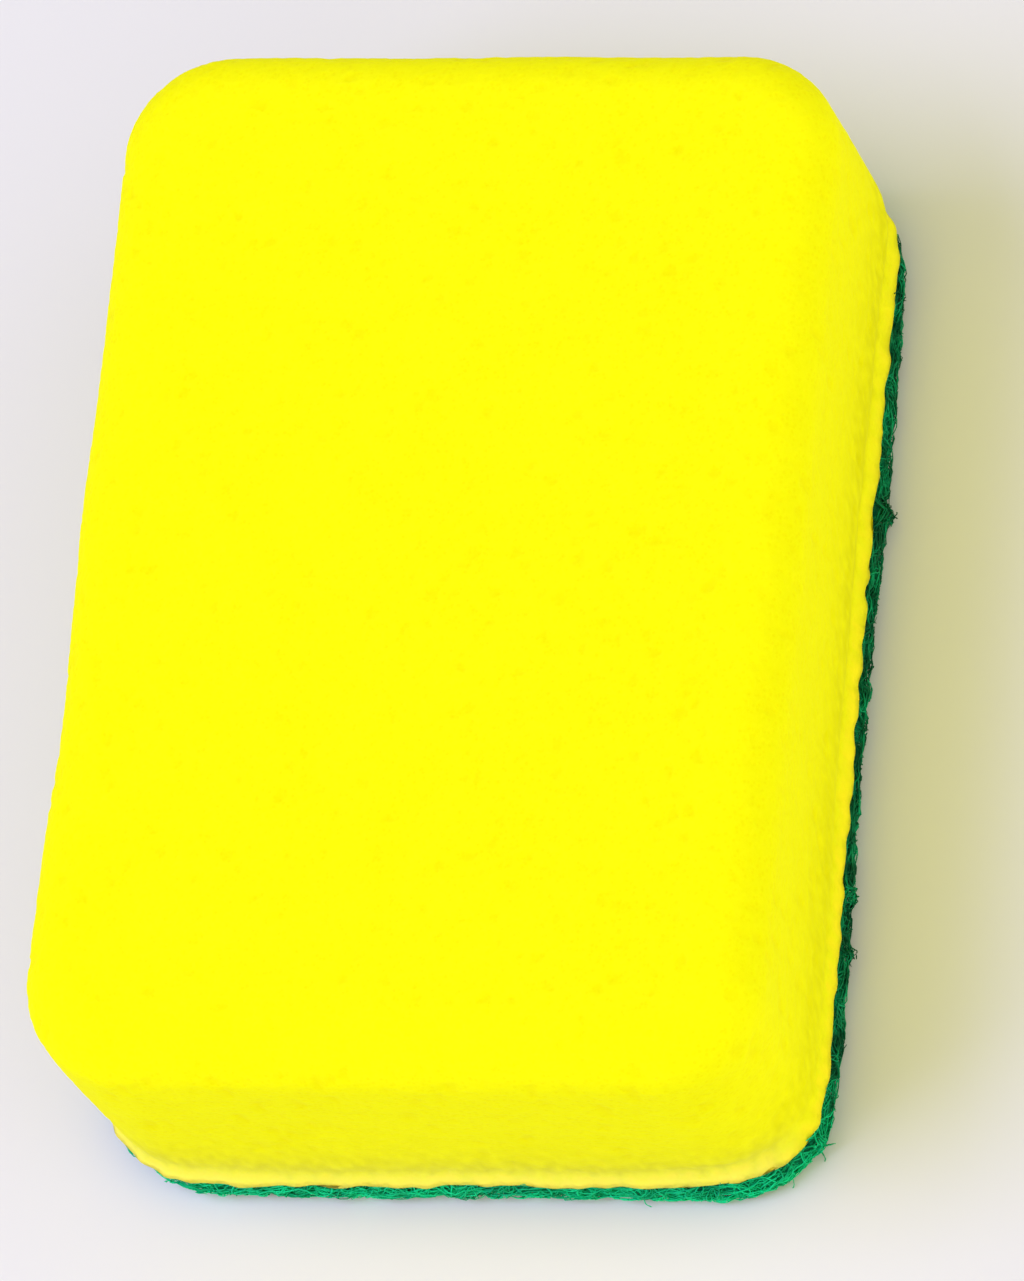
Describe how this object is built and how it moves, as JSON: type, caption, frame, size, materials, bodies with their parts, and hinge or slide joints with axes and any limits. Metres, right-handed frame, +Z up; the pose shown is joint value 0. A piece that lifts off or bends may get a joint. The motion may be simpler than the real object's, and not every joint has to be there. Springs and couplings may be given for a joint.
{
  "type": "scouring sponge",
  "caption": "Hand-held cleaning sponge: a rounded foam block for wiping, bonded to a thin non-woven pad for scouring.",
  "frame": {"origin": "centre of the scouring pad's flat underside, on the surface the sponge lies on", "axes": "+X across the width, +Y along the length, +Z up from the scouring pad through the foam"},
  "size_m": [0.0746, 0.11, 0.038],
  "materials": {
    "foam": "matte",
    "adhesive": "satin",
    "scouring_web": "matte"
  },
  "bodies": {
    "root": {"foam_block": "foam", "adhesive_layer": "adhesive", "scouring_pad": "scouring_web"}
  },
  "joints": []
}
